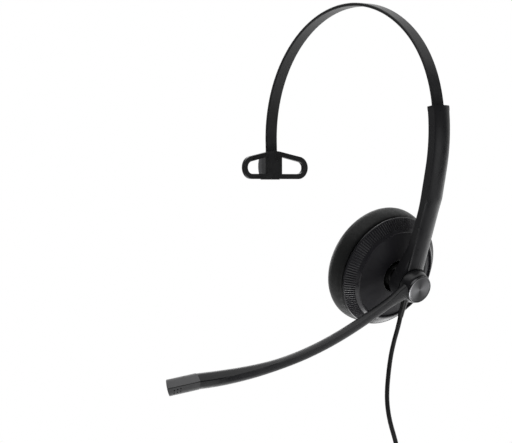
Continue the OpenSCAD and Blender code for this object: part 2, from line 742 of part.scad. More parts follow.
module mic_solid() {
  intersection() {
    rotate([90, 0, 90]) linear_extrude(mic_len + 4) polygon([for (q = MIC_SECTION) [q[1], q[0]]]);
    translate([mic_len, 0, 0]) rotate([0, 0, mic_end_turn]) rotate([0, mic_end_dip, 0]) translate([-mic_end_r, 0, 0])
      sphere(r = mic_end_r, $fn = 120);
  }
}

module mic_cavity() {
  translate([8.4, -0.2, 0]) rotate([0, 90, 0]) cylinder(r = 2.4, h = 4.9);
}

module mic_upper() color("#515256") at_mic() difference() {
  mic_solid();
  translate([-1, seam_y, -10]) cube([40, 20, 20]);
  mic_cavity();
}

// The lower half carries the six sound holes
module mic_lower() color("#46474a") at_mic() difference() {
  mic_solid();
  translate([-1, seam_y - 20, -10]) cube([40, 20, 20]);
  mic_cavity();
  for (i = [0 : 2]) for (y = [-0.2, 1.4]) translate([9.6 + 1.6 * i, y + 0.15 * i, 0]) cylinder(r = 0.35, h = 8, $fn = 16);
}

module mic_element() color("#c0c2c4") at_mic() translate([9, -0.2, 0]) rotate([0, 90, 0]) cylinder(r = 2.3, h = 3.4);

band_strip();
band_skin();
tail_stop();
pad_boss();
pad_boss_cap();
pad_rivets();
temple_pad();
arm_shell();
arm_cover();
arm_screws();
detent_leaf();
ball_stud();
pivot_post();
pivot_screw();
friction_washer();
strain_relief();
cord();
cord_coil();
coil_tie();
cord_tail();
plug_boot();
plug_body();
plug_contacts();
plug_latch();
ball_cage();
cup_shell();
rib_ring();
face_plate();
ball_socket();
socket_screws();
baffle();
baffle_screws();
speaker_grille();
driver_frame();
driver_diaphragm();
driver_yoke();
driver_magnet();
terminal_board();
ear_scrim();
cushion_ring();
ear_cushion();
boom_arm();
boom_cap();
mic_upper();
mic_lower();
mic_element();
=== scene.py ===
"""Office headset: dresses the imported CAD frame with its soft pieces, cord, finishes, light and camera."""

import json
import math

import bmesh
import bpy
from bpy.props import FloatProperty, FloatVectorProperty, IntProperty, PointerProperty
from mathutils import Matrix, Vector
from mathutils.bvhtree import BVHTree


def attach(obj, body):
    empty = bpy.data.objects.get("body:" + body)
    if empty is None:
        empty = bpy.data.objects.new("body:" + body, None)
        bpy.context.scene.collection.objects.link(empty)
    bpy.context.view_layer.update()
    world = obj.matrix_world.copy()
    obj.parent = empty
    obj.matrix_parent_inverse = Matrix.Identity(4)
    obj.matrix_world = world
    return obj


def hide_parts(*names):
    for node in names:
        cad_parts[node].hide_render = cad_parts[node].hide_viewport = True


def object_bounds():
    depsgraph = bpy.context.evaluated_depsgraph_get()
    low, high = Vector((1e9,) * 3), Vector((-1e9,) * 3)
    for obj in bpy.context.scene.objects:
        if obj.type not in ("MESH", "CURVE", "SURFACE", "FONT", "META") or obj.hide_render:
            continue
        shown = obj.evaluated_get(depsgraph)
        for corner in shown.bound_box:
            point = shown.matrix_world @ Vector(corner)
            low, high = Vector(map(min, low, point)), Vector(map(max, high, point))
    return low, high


bl_info = {
    "name": "Office Headset",
    "version": (1, 0, 0),
    "blender": (4, 5, 0),
    "location": "View3D > Sidebar > Headset",
    "description": "Cord, cushion, temple pad, boom trim and finishes for a one-ear office headset",
    "category": "Object",
}

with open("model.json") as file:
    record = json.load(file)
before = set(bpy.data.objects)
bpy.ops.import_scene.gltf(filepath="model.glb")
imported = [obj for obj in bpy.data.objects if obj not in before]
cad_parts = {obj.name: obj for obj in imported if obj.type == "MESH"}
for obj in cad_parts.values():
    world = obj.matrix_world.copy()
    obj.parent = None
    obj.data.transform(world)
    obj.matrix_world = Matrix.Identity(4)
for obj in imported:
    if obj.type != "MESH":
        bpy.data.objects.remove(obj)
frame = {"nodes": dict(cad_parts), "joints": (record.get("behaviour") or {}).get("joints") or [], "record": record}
NODES = frame["nodes"]
JOINTS = {j["name"]: j for j in frame["joints"]}
BODY_OF = {n: body for body, names in frame["record"]["behaviour"]["bodies"].items() for n in names}
SLOT_OF = {p["node"]: p["material_slot"] for p in frame["record"]["subparts"]}
CAD_BOX = [list(corner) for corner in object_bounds()]
MM = 0.001

# Features of the photograph, 512 x 443: x, y, or None where only the other one is an edge
FRAME_W = 512
FRAME_H = 443


# ---------- settings ----------


def length(name, description, default, **limits):
    """A setting in metres."""
    return FloatProperty(name=name, description=description, default=default, unit="LENGTH", **limits)


def colour(name, description, default):
    """A colour setting, in linear red, green and blue."""
    return FloatVectorProperty(
        name=name, description=description, default=default, subtype="COLOR", min=0, max=1
    )


class HeadsetStage(bpy.types.PropertyGroup):
    """Camera and light."""

    azimuth: FloatProperty(
        name="Azimuth", description="Camera's turn from the front", default=math.radians(52), subtype="ANGLE"
    )
    elevation: FloatProperty(
        name="Elevation", description="Camera's height angle", default=math.radians(1), subtype="ANGLE"
    )
    distance: length("Distance", "Camera to aim point", 1.05, min=0.3)
    lens: FloatProperty(
        name="Lens", description="Focal length in mm", default=138.0, min=20, subtype="DISTANCE_CAMERA"
    )
    key: FloatProperty(name="Key", description="Power of the key lamp in watts", default=5.0, min=0)


class HeadsetCord(bpy.types.PropertyGroup):
    """The free cord."""

    diameter: length("Diameter", "Outer diameter of the jacket", 2.3 * MM, min=1 * MM)
    coil_radius: length("Coil radius", "Middle radius of the turns", 13.5 * MM, min=5 * MM)
    step: length("Turn spacing", "Distance between neighbouring turns", 2.3 * MM, min=1 * MM)
    points_a_turn: IntProperty(
        name="Points a turn", description="Curve points in each turn of the coil", default=32, min=12, max=64
    )


class HeadsetSoft(bpy.types.PropertyGroup):
    """The ear cushion and the temple pad."""

    pucker: length("Pucker", "Depth of the small folds at the cushion's seam", 0.22 * MM, min=0)
    folds: IntProperty(name="Folds", description="Folds round the cushion's seam", default=46, min=8, max=120)
    pad_round: length("Pad rounding", "Edge radius of the temple pad's rubber", 0.75 * MM, min=0.1 * MM)


class HeadsetFinish(bpy.types.PropertyGroup):
    """Colours of the main finishes."""

    arm: colour("Arm", "Satin black of the arm and boom", (0.0125, 0.0125, 0.014))
    band: colour("Band", "Satin skin of the headband", (0.016, 0.016, 0.017))
    cup: colour("Cup", "Satin black of the ear cup", (0.0125, 0.012, 0.0145))
    leather: colour("Leatherette", "Cover of the ear cushion", (0.0085, 0.009, 0.009))
    rubber: colour("Rubber", "Temple pad, boots and cord", (0.011, 0.011, 0.0115))
    mic: colour("Microphone", "Dark grey of the microphone capsule", (0.11, 0.11, 0.113))
    cap: colour("Cap", "Spun metal of the hub's cap", (0.17, 0.17, 0.175))


def settings(context):
    """The four groups of settings: stage, cord, soft pieces and finishes."""
    scene = context.scene
    return scene.headset_stage, scene.headset_cord, scene.headset_soft, scene.headset_finish


# ---------- camera arithmetic and image points ----------


def camera_axes():
    """The camera and its place in the row frame."""
    cam = bpy.context.scene.camera
    bpy.context.view_layer.update()
    return cam, cam.matrix_world.copy()


def ray_through(x, y):
    """Start and direction, in the row frame, of the sight line through a point of the photograph."""
    cam, place = camera_axes()
    long_side = max(FRAME_W, FRAME_H)
    data = cam.data
    aim = Vector((
        x - FRAME_W / 2 + data.shift_x * long_side,
        FRAME_H / 2 - y + data.shift_y * long_side,
        -long_side * data.lens / data.sensor_width,
    ))
    return place.translation, (place.to_3x3() @ aim).normalized()


def seen_at(point):
    """Where a point of the row frame shows, in the photograph's pixels."""
    cam, place = camera_axes()
    long_side = max(FRAME_W, FRAME_H)
    data = cam.data
    local = place.inverted() @ Vector(point)
    scale = long_side * data.lens / data.sensor_width / -local.z
    return (
        local.x * scale + FRAME_W / 2 - data.shift_x * long_side,
        FRAME_H / 2 - local.y * scale + data.shift_y * long_side,
    )


def on_surface(x, y, *trees):
    """Place and normal where the sight line through x, y first meets the trees, or None if it meets none."""
    start, aim = ray_through(x, y)
    hits = [hit for hit in (tree.ray_cast(start, aim) for tree in trees) if hit[0] is not None]
    return min(hits, key=lambda hit: hit[3])[:2] if hits else None


def tree_of(obj):
    """A finished piece's mesh as a tree that rays can meet."""
    graph = bpy.context.evaluated_depsgraph_get()
    done = obj.evaluated_get(graph)
    mesh = done.to_mesh()
    bm = bmesh.new()
    bm.from_mesh(mesh)
    bm.transform(obj.matrix_world)
    tree = BVHTree.FromBMesh(bm)
    bm.free()
    done.to_mesh_clear()
    return tree


def shown_pixels(obj):
    """The photograph's pixels of a finished piece's vertices."""
    graph = bpy.context.evaluated_depsgraph_get()
    done = obj.evaluated_get(graph)
    mesh = done.to_mesh()
    pixels = [seen_at(obj.matrix_world @ v.co) for v in mesh.vertices]
    done.to_mesh_clear()
    return pixels


# ---------- frames and mesh helpers ----------

# The cup's rim on the hub's Z axis
RIM_LEVEL = -16.3 * MM
# The capsule's start on the hub's axes, its turn and dip, and two features in its own axes
MIC_START = Vector((45.6, -115.1, -1.49)) * MM
MIC_YAW = math.radians(-76.3)
MIC_DIP = math.radians(9)
SEAM_START = Vector((0, -1.7, 2.75)) * MM
HOLES_MIDDLE = Vector((11.2, 0.75, 2.9)) * MM
# The strain relief's axis on the hub's axes, from its foot to its tip
RELIEF_FOOT = Vector((5, 0, -0.4)) * MM
RELIEF_TIP = Vector((17.7, 0, -0.4)) * MM
# Mesh clean-up: points this near are one, and faces this near to flat are one
SAME_POINT = 0.002 * MM
SAME_FACE = math.radians(0.4)


def hub_frame():
    """The hub's own axes: Z outwards along the swivel, X down the arm, Y backwards."""
    joint = JOINTS["boom_swivel"]
    z = Vector(joint["axis"]).normalized()
    y = Vector((0, 1, 0))
    x = y.cross(z)
    place = Matrix((x, y, z)).transposed().to_4x4()
    place.translation = Vector(joint["pos_m"])
    return place


def mic_frame():
    """The capsule's own axes: X along it to its end, Z outwards."""
    turn = Matrix.Rotation(MIC_YAW, 4, "Z") @ Matrix.Rotation(MIC_DIP, 4, "Y")
    return hub_frame() @ Matrix.Translation(MIC_START) @ turn


def cup_frame():
    """The ear cup's own axes: the hub's, moved in to the cup's rim."""
    return hub_frame() @ Matrix.Translation((0, 0, RIM_LEVEL))


def added(name, bm, body):
    """Turns a bmesh into a piece that rides on a body, with its place in its mesh."""
    mesh = bpy.data.meshes.new(name)
    bm.to_mesh(mesh)
    bm.free()
    obj = bpy.data.objects.new(name, mesh)
    bpy.context.scene.collection.objects.link(obj)
    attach(obj, body)
    return obj


def soften(bm, angle):
    """Smooth faces, with edges past the angle left sharp."""
    for f in bm.faces:
        f.smooth = True
    for e in bm.edges:
        e.smooth = len(e.link_faces) == 2 and e.calc_face_angle(0) < angle


def merged_copy(node):
    """A bmesh of a CAD node with its loose triangles joined and its flat faces whole."""
    bm = bmesh.new()
    bm.from_mesh(NODES[node].data)
    bmesh.ops.remove_doubles(bm, verts=bm.verts, dist=SAME_POINT)
    bmesh.ops.dissolve_limit(bm, angle_limit=SAME_FACE, verts=bm.verts, edges=bm.edges)
    return bm


def dressed(node, name, edge=0.0, angle=32, segments=2):
    """A smooth-shaded piece on a CAD node's own shape, with softly broken edges, in the node's place."""
    bm = merged_copy(node)
    soften(bm, math.radians(angle))
    obj = added(name, bm, BODY_OF[node])
    if edge:
        bevel = obj.modifiers.new("broken_edges", "BEVEL")
        bevel.width = edge
        bevel.segments = segments
        bevel.limit_method = "ANGLE"
        bevel.angle_limit = math.radians(angle)
        bevel.harden_normals = False
        for p in obj.data.polygons:
            p.use_smooth = True
    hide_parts(node)
    return obj


def spun(profile, steps, place):
    """Closed profile of (radius, level) in mm, spun round a frame's Z axis."""
    bm = bmesh.new()
    corners = [bm.verts.new((r * MM, 0, z * MM)) for r, z in profile]
    edges = [bm.edges.new((corners[i], corners[(i + 1) % len(corners)])) for i in range(len(corners))]
    bmesh.ops.spin(
        bm, geom=corners + edges, cent=(0, 0, 0), axis=(0, 0, 1), angle=2 * math.pi, steps=steps, use_merge=True
    )
    bmesh.ops.remove_doubles(bm, verts=bm.verts, dist=0.001 * MM)
    bmesh.ops.recalc_face_normals(bm, faces=bm.faces)
    bm.transform(place)
    return bm


# ---------- material helpers ----------


def stock(name, colour, rough, metal=0.0, spec=0.5):
    """A new material: its tree, its shader and its object coordinates."""
    mat = bpy.data.materials.new(name)
    mat.use_nodes = True
    tree = mat.node_tree
    shader = tree.nodes["Principled BSDF"]
    shader.inputs["Base Color"].default_value = (*colour, 1)
    shader.inputs["Roughness"].default_value = rough
    shader.inputs["Metallic"].default_value = metal
    shader.inputs["Specular IOR Level"].default_value = spec
    place = tree.nodes.new("ShaderNodeTexCoord").outputs["Object"]
    return mat, tree, shader, place


def noise(tree, place, scale, detail=2.0):
    """Cloudy pattern from 0 to 1."""
    node = tree.nodes.new("ShaderNodeTexNoise")
    node.inputs["Scale"].default_value = scale
    node.inputs["Detail"].default_value = detail
    tree.links.new(place, node.inputs["Vector"])
    return node.outputs["Fac"]


def spread(tree, value, low, high, start=0.3, end=0.7):
    """A pattern stretched from start and end to low and high."""
    node = tree.nodes.new("ShaderNodeMapRange")
    node.inputs["From Min"].default_value = start
    node.inputs["From Max"].default_value = end
    node.inputs["To Min"].default_value = low
    node.inputs["To Max"].default_value = high
    tree.links.new(value, node.inputs["Value"])
    return node.outputs["Result"]


def tint(tree, shader, value, colour, amount):
    """Base colour that drifts about its own value."""
    node = tree.nodes.new("ShaderNodeMix")
    node.data_type = "RGBA"
    node.inputs["A"].default_value = (*[c * (1 - amount) for c in colour], 1)
    node.inputs["B"].default_value = (*[c * (1 + amount) for c in colour], 1)
    tree.links.new(value, node.inputs["Factor"])
    tree.links.new(node.outputs["Result"], shader.inputs["Base Color"])


def relief(tree, shader, height, depth, under=None):
    """Bump of that depth in metres, on top of another bump if given."""
    node = tree.nodes.new("ShaderNodeBump")
    node.inputs["Strength"].default_value = 1.0
    node.inputs["Distance"].default_value = depth
    tree.links.new(height, node.inputs["Height"])
    if under is not None:
        tree.links.new(under, node.inputs["Normal"])
    tree.links.new(node.outputs["Normal"], shader.inputs["Normal"])
    return node.outputs["Normal"]


def satin_plastic(name, colour, rough, grain=0.004 * MM, scale=2600, spec=0.5):
    """Moulded plastic: fine spark-eroded grain, faint flow marks and slightly uneven polish."""
    mat, tree, shader, place = stock(name, colour, rough, spec=spec)
    drift = noise(tree, place, 60, 3)
    tint(tree, shader, spread(tree, drift, 0, 1), colour, 0.12)
    handled = noise(tree, place, 220, 4)
    tree.links.new(spread(tree, handled, rough - 0.04, rough + 0.05), shader.inputs["Roughness"])
    relief(tree, shader, noise(tree, place, scale, 1), grain)
    return mat


def leatherette(name, colour):
    """Grained leatherette: small pebbles with open creases, over a slow unevenness of the foam."""
    mat, tree, shader, place = stock(name, colour, 0.46, spec=0.25)
    cells = tree.nodes.new("ShaderNodeTexVoronoi")
    cells.feature = "DISTANCE_TO_EDGE"
    cells.inputs["Scale"].default_value = 1150
    tree.links.new(place, cells.inputs["Vector"])
    pebble = spread(tree, cells.outputs["Distance"], 0, 1, 0, 0.22)
    tint(tree, shader, pebble, colour, 0.25)
    slow = relief(tree, shader, noise(tree, place, 130, 2), 0.12 * MM)
    relief(tree, shader, pebble, 0.03 * MM, slow)
    tree.links.new(spread(tree, pebble, 0.6, 0.42, 0, 1), shader.inputs["Roughness"])
    shader.inputs["Sheen Weight"].default_value = 0.06
    return mat


def soft_rubber(name, colour, rough=0.36):
    """Moulded rubber: smooth, with a faint bloom and tiny pits."""
    mat, tree, shader, place = stock(name, colour, rough, spec=0.3)
    bloom = noise(tree, place, 150, 4)
    tint(tree, shader, spread(tree, bloom, 0, 1), colour, 0.2)
    tree.links.new(spread(tree, bloom, rough - 0.05, rough + 0.08), shader.inputs["Roughness"])
    relief(tree, shader, noise(tree, place, 3200, 1), 0.004 * MM)
    return mat


def jacket(name, colour):
    """Cord jacket: smooth extruded skin with a slight waviness along it."""
    mat, tree, shader, place = stock(name, colour, 0.42, spec=0.2)
    slow = noise(tree, place, 180, 2)
    tint(tree, shader, spread(tree, slow, 0, 1), colour, 0.15)
    relief(tree, shader, noise(tree, place, 900, 1), 0.01 * MM)
    return mat


def plated_metal(name, colour, rough=0.28, scratch=0.002 * MM):
    """Bright metal with fine drawn marks and uneven polish."""
    mat, tree, shader, place = stock(name, colour, rough, metal=1.0)
    marks = tree.nodes.new("ShaderNodeMapping")
    marks.inputs["Scale"].default_value = (1, 14, 14)
    tree.links.new(place, marks.inputs["Vector"])
    fine = noise(tree, marks.outputs["Vector"], 400, 3)
    tree.links.new(spread(tree, fine, rough - 0.08, rough + 0.1), shader.inputs["Roughness"])
    tint(tree, shader, spread(tree, noise(tree, place, 300, 3), 0, 1), colour, 0.08)
    relief(tree, shader, fine, scratch)
    return mat


# Turn of the two painted highlight fans on the spun cap, from level across the hub, doubled
HIGHLIGHT_FAN_TURN = math.radians(150)


def spun_metal(name, colour):
    """Dark metal turned on a lathe: circular marks with a little anisotropy, and two bright fans painted into its
    colour as a painted highlight.
    """
    mat, tree, shader, place = stock(name, colour, 0.33, metal=1.0)
    shader.inputs["Anisotropic"].default_value = 0.1
    shader.inputs["Anisotropic Rotation"].default_value = 0.25
    tangent = tree.nodes.new("ShaderNodeTangent")
    tangent.direction_type = "UV_MAP"
    tangent.uv_map = "turned"
    tree.links.new(tangent.outputs["Tangent"], shader.inputs["Tangent"])
    around = tree.nodes.new("ShaderNodeUVMap")
    around.uv_map = "turned"
    rings = tree.nodes.new("ShaderNodeMapping")
    rings.inputs["Scale"].default_value = (2, 90, 1)
    tree.links.new(around.outputs["UV"], rings.inputs["Vector"])
    fine = noise(tree, rings.outputs["Vector"], 3, 2)
    tree.links.new(spread(tree, fine, 0.27, 0.4), shader.inputs["Roughness"])
    # Painted highlight: the base colour swings lighter in two fans and darker in two fans round the cap
    split = tree.nodes.new("ShaderNodeSeparateXYZ")
    tree.links.new(around.outputs["UV"], split.inputs["Vector"])
    phase = tree.nodes.new("ShaderNodeMath")
    phase.operation = "MULTIPLY_ADD"
    phase.inputs[1].default_value = 4 * math.pi
    phase.inputs[2].default_value = HIGHLIGHT_FAN_TURN
    tree.links.new(split.outputs["X"], phase.inputs[0])
    painted_fan = tree.nodes.new("ShaderNodeMath")
    painted_fan.operation = "COSINE"
    tree.links.new(phase.outputs["Value"], painted_fan.inputs[0])
    tint(tree, shader, spread(tree, painted_fan.outputs["Value"], 0, 1, -1, 1), colour, 0.55)
    return mat


def clear_moulding(name, colour):
    """Clear plastic with a trace of smoke and fine moulding marks."""
    mat, tree, shader, place = stock(name, colour, 0.08, spec=0.5)
    shader.inputs["Transmission Weight"].default_value = 0.85
    shader.inputs["IOR"].default_value = 1.49
    drift = noise(tree, place, 300, 2)
    tree.links.new(spread(tree, drift, 0.05, 0.16), shader.inputs["Roughness"])
    tint(tree, shader, drift, colour, 0.04)
    relief(tree, shader, drift, 0.006 * MM)
    return mat


def woven(name, colour, scale=1100):
    """Plain weave from two crossed sets of threads."""
    mat, tree, shader, place = stock(name, colour, 0.8, spec=0.25)
    threads = []
    for turn in (0, math.pi / 2):
        mapping = tree.nodes.new("ShaderNodeMapping")
        mapping.inputs["Rotation"].default_value = (turn, 0.3, 0.2)
        tree.links.new(place, mapping.inputs["Vector"])
        wave = tree.nodes.new("ShaderNodeTexWave")
        wave.bands_direction = "Z"
        wave.inputs["Scale"].default_value = scale
        wave.inputs["Distortion"].default_value = 0.6
        tree.links.new(mapping.outputs["Vector"], wave.inputs["Vector"])
        threads.append(wave.outputs["Fac"])
    cross = tree.nodes.new("ShaderNodeMath")
    cross.operation = "MULTIPLY"
    tree.links.new(threads[0], cross.inputs[0])
    tree.links.new(threads[1], cross.inputs[1])
    tint(tree, shader, spread(tree, cross.outputs["Value"], 0, 1, 0, 1), colour, 0.35)
    relief(tree, shader, cross.outputs["Value"], 0.05 * MM)
    shader.inputs["Sheen Weight"].default_value = 0.2
    return mat


def film(name, colour):
    """Thin formed film with a soft gloss."""
    mat, tree, shader, place = stock(name, colour, 0.25, spec=0.5)
    ripples = noise(tree, place, 500, 2)
    tint(tree, shader, ripples, colour, 0.08)
    relief(tree, shader, ripples, 0.01 * MM)
    return mat


def coated_board(name, colour):
    """Circuit board under a green coat, with faint tracks."""
    mat, tree, shader, place = stock(name, colour, 0.3, spec=0.5)
    tracks = tree.nodes.new("ShaderNodeTexBrick")
    tracks.inputs["Scale"].default_value = 260
    tree.links.new(place, tracks.inputs["Vector"])
    tint(tree, shader, tracks.outputs["Fac"], colour, 0.3)
    relief(tree, shader, tracks.outputs["Fac"], 0.02 * MM)
    return mat


def paint(obj, mat):
    """Gives an object one material."""
    obj.data.materials.clear()
    obj.data.materials.append(mat)


# ---------- stage ----------

AIM = Vector((-0.0793, 0, -0.10905))
SENSOR = 36
# Dark drape round the camera's side: radius and levels from the aim point in metres, azimuths in degrees
DRAPE = {"radius": 1.3, "low": -2.2, "high": 1.1, "from": -175, "to": 60}
LAMP_AWAY = 1.15
LAMP_SIZE = 0.55
# Lamps round the object: name, azimuth and elevation from the aim point in degrees, share of the key's power.
# The shares were fitted to the photograph's tones
LAMPS = [
    ("below", 140, -65, 0.95), ("front_low", 340, -50, 0.9), ("back_left", 180, 10, 0.6),
    ("side", 82, -17, 0.35), ("front_right", 20, -10, 0.15), ("right_low", 47, -32, 0.1),
    ("left", 240, 0, 0.08), ("high", 320, 60, 0.15), ("left_low", 230, -40, 0.3), ("back", 150, 40, 0.35),
]
# Strength of the surround for light on the object, against 1 where it is seen
SURROUND_LIGHT = 0.5
FLOOR_RADIUS = 0.42
FLOOR_GAP = 0.004
FLOOR_COLOUR = (0.82, 0.82, 0.82)


class HEADSET_OT_stage(bpy.types.Operator):
    """Camera at the photograph's angle, plain floor, soft light and a white surround"""

    bl_idname = "headset.stage"
    bl_label = "Stage"

    def execute(self, context):
        stage = settings(context)[0]
        scene = context.scene
        scene.view_settings.view_transform = "Standard"
        back = Vector((
            math.sin(stage.azimuth) * math.cos(stage.elevation),
            -math.cos(stage.azimuth) * math.cos(stage.elevation),
            math.sin(stage.elevation),
        ))
        data = bpy.data.cameras.new("camera")
        data.lens = stage.lens
        data.sensor_width = SENSOR
        data.sensor_fit = "AUTO"
        data.clip_start = 0.05
        cam = bpy.data.objects.new("camera", data)
        cam.location = AIM + back * stage.distance
        cam.rotation_euler = (-back).to_track_quat("-Z", "Y").to_euler()
        scene.collection.objects.link(cam)
        scene.camera = cam
        self.surround(scene)
        for name, azimuth, elevation, share in LAMPS:
            self.lamp(scene, name, math.radians(azimuth), math.radians(elevation), stage.key * share)
        self.drape()
        self.floor()
        return {"FINISHED"}

    def drape(self):
        """Dark cloth hung in an arc on the camera's side, out of every view, that the gloss picks up."""
        bm = bmesh.new()
        start = math.radians(DRAPE["from"])
        corners = [
            bm.verts.new((DRAPE["radius"] * math.cos(start), DRAPE["radius"] * math.sin(start), z))
            for z in (DRAPE["low"], DRAPE["high"])
        ]
        edge = bm.edges.new(corners)
        sweep = math.radians(DRAPE["to"] - DRAPE["from"])
        bmesh.ops.spin(bm, geom=[*corners, edge], cent=(0, 0, 0), axis=(0, 0, 1), angle=sweep, steps=32)
        bmesh.ops.translate(bm, verts=bm.verts, vec=AIM)
        mesh = bpy.data.meshes.new("drape")
        bm.to_mesh(mesh)
        bm.free()
        obj = bpy.data.objects.new("drape", mesh)
        bpy.context.scene.collection.objects.link(obj)
        obj.visible_camera = False
        obj.visible_shadow = False
        obj.visible_diffuse = False
        obj.visible_transmission = False
        paint(obj, woven("drape_cloth", (0.01, 0.01, 0.01), 300))

    def surround(self, scene):
        """White to camera, glossy and transmitted rays, and a paler level for the light on the object."""
        world = bpy.data.worlds.new("surround")
        scene.world = world
        world.use_nodes = True
        tree = world.node_tree
        background = tree.nodes["Background"]
        path = tree.nodes.new("ShaderNodeLightPath")
        seen = tree.nodes.new("ShaderNodeMath")
        seen.operation = "MAXIMUM"
        seen.use_clamp = True
        tree.links.new(path.outputs["Is Camera Ray"], seen.inputs[0])
        tree.links.new(path.outputs["Is Transmission Ray"], seen.inputs[1])
        glossy = tree.nodes.new("ShaderNodeMath")
        glossy.operation = "MAXIMUM"
        tree.links.new(seen.outputs["Value"], glossy.inputs[0])
        tree.links.new(path.outputs["Is Glossy Ray"], glossy.inputs[1])
        level = tree.nodes.new("ShaderNodeMix")
        level.data_type = "FLOAT"
        level.inputs["A"].default_value = SURROUND_LIGHT
        level.inputs["B"].default_value = 1.0
        tree.links.new(glossy.outputs["Value"], level.inputs["Factor"])
        background.inputs["Color"].default_value = (1, 1, 1, 1)
        tree.links.new(level.outputs["Result"], background.inputs["Strength"])

    def lamp(self, scene, name, azimuth, elevation, power):
        """Square soft lamp that faces the aim point."""
        data = bpy.data.lights.new(name, "AREA")
        data.size = LAMP_SIZE
        data.energy = power
        level = math.cos(elevation)
        place = Vector((math.cos(azimuth) * level, math.sin(azimuth) * level, math.sin(elevation)))
        obj = bpy.data.objects.new(name, data)
        obj.location = AIM + place * LAMP_AWAY
        obj.rotation_euler = place.to_track_quat("Z", "Y").to_euler()
        scene.collection.objects.link(obj)

    def floor(self):
        """A pale round table below the hanging plug, which the low lamps shine through."""
        bm = bmesh.new()
        bmesh.ops.create_circle(bm, cap_ends=True, radius=FLOOR_RADIUS, segments=96)
        bmesh.ops.translate(bm, verts=bm.verts, vec=(0, 0, CAD_BOX[0][2] - FLOOR_GAP))
        mesh = bpy.data.meshes.new("floor")
        bm.to_mesh(mesh)
        bm.free()
        obj = bpy.data.objects.new("floor", mesh)
        bpy.context.scene.collection.objects.link(obj)
        mat, tree, shader, place = stock("pale_floor", FLOOR_COLOUR, 0.7, spec=0.3)
        tint(tree, shader, noise(tree, place, 8, 2), FLOOR_COLOUR, 0.015)
        paint(obj, mat)
        obj.visible_glossy = False
        obj.visible_shadow = False


# ---------- cord ----------

# Route, listed in mm, as in the CAD: strain relief to coil, and coil to plug
CORD_ROUTE = [
    (35.6, 0, -153.5), (34.5, 0, -157), (33, 0, -161), (31, 0, -166), (29, 0, -172), (27.6, 0, -178),
    (26.6, 0, -184), (25.9, 0, -190), (25.5, 0.3, -196), (25.4, 1.2, -202), (25.4, 2.8, -208), (25.4, 5, -214),
    (25.4, 7, -220), (25.3, 8, -225), (25, 8.9, -228), (24.4, 10.7, -230.5), (23.6, 13, -232.5),
]
TAIL_ROUTE = [(27.2, 13, -265.5), (26.4, 10.7, -267.5), (25.8, 8.9, -270), (25.4, 8.1, -273), (25.4, 8, -277)]
COIL_CENTRE = Vector((25.4, 8, -249)) * MM
# Turns in the coil's section, in turn spacings: layer along the coil's axis, places in that layer
COIL_LAYERS = [
    (-1.5, (1, 0, -1)), (-0.5, (-1.5, -0.5, 0.5, 1.5)), (0.5, (1.5, 0.5, -0.5, -1.5)), (1.5, (-1, 0, 1)),
]
# Angles at which the cord joins and leaves the coil
COIL_JOINS = math.radians(41.2)
COIL_LEAVES = math.radians(138.8)
# Shares of a turn: held in its own place, then taken to ease over to the next
TURN_HELD = 0.35
TURN_EASES = 0.5
STRAP_RADIUS = 5.55 * MM
STRAP_ANGLE = math.radians(24)
STRAP_THICKNESS = 0.6 * MM


def smooth_line(points, pieces):
    """A curve through every point, with that many pieces between two of them."""
    padded = [2 * points[0] - points[1], *points, 2 * points[-1] - points[-2]]
    line = []
    for a, b, c, d in zip(padded, padded[1:], padded[2:], padded[3:]):
        for k in range(pieces):
            t = k / pieces
            square, cube = 2 * a - 5 * b + 4 * c - d, 3 * b - a - 3 * c + d
            line.append(0.5 * (2 * b + (c - a) * t + square * t * t + cube * t ** 3))
    return [*line, points[-1]]


def coil_line(cord):
    """The coil's turns: each holds its place in the section, then eases over to the next one's."""
    places = [
        (layer * cord.step, cord.coil_radius + place * cord.step) for layer, row in COIL_LAYERS for place in row
    ]
    first = COIL_JOINS
    last = COIL_LEAVES + 2 * math.pi * (len(places) - 1)
    count = round(cord.points_a_turn * (last - first) / (2 * math.pi))
    line = []
    for i in range(count + 1):
        angle = first + (last - first) * i / count
        turn = (angle - math.radians(90)) / (2 * math.pi)
        k = max(0, min(len(places) - 1, math.floor(turn)))
        after = min(len(places) - 1, k + 1)
        t = max(0.0, min(1.0, (turn - k - TURN_HELD) / TURN_EASES)) if turn > 0 else 0.0
        ease = t * t * (3 - 2 * t)
        side = places[k][0] + (places[after][0] - places[k][0]) * ease
        radius = places[k][1] + (places[after][1] - places[k][1]) * ease
        line.append(COIL_CENTRE + Vector((side, radius * math.sin(angle), radius * math.cos(angle))))
    return line


class HEADSET_OT_cord(bpy.types.Operator):
    """The whole cord as one line: down from the strain relief, round the coil, and on to the plug"""

    bl_idname = "headset.cord"
    bl_label = "Cord"

    def execute(self, context):
        cord = settings(context)[1]
        down = smooth_line([Vector(p) * MM for p in CORD_ROUTE[:-1]] + coil_line(cord)[:1], 3)[:-1]
        up = smooth_line(coil_line(cord)[-1:] + [Vector(p) * MM for p in TAIL_ROUTE[1:]], 3)[1:]
        line = down + coil_line(cord) + up
        curve = bpy.data.curves.new("cord_line", "CURVE")
        curve.dimensions = "3D"
        curve.bevel_depth = cord.diameter / 2
        curve.bevel_resolution = 3
        curve.use_fill_caps = True
        spline = curve.splines.new("POLY")
        spline.points.add(len(line) - 1)
        for point, place in zip(spline.points, line):
            point.co = (*place, 1)
        route = bpy.data.objects.new("cord_route", curve)
        context.scene.collection.objects.link(route)
        mesh = bpy.data.meshes.new_from_object(route.evaluated_get(context.evaluated_depsgraph_get()))
        bpy.data.objects.remove(route, do_unlink=True)
        for face in mesh.polygons:
            face.use_smooth = True
        obj = bpy.data.objects.new("cord_line", mesh)
        context.scene.collection.objects.link(obj)
        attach(obj, "arm")
        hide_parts("cord", "cord_coil", "cord_tail")
        paint(obj, jacket("cord_jacket", settings(context)[3].rubber))
        return {"FINISHED"}


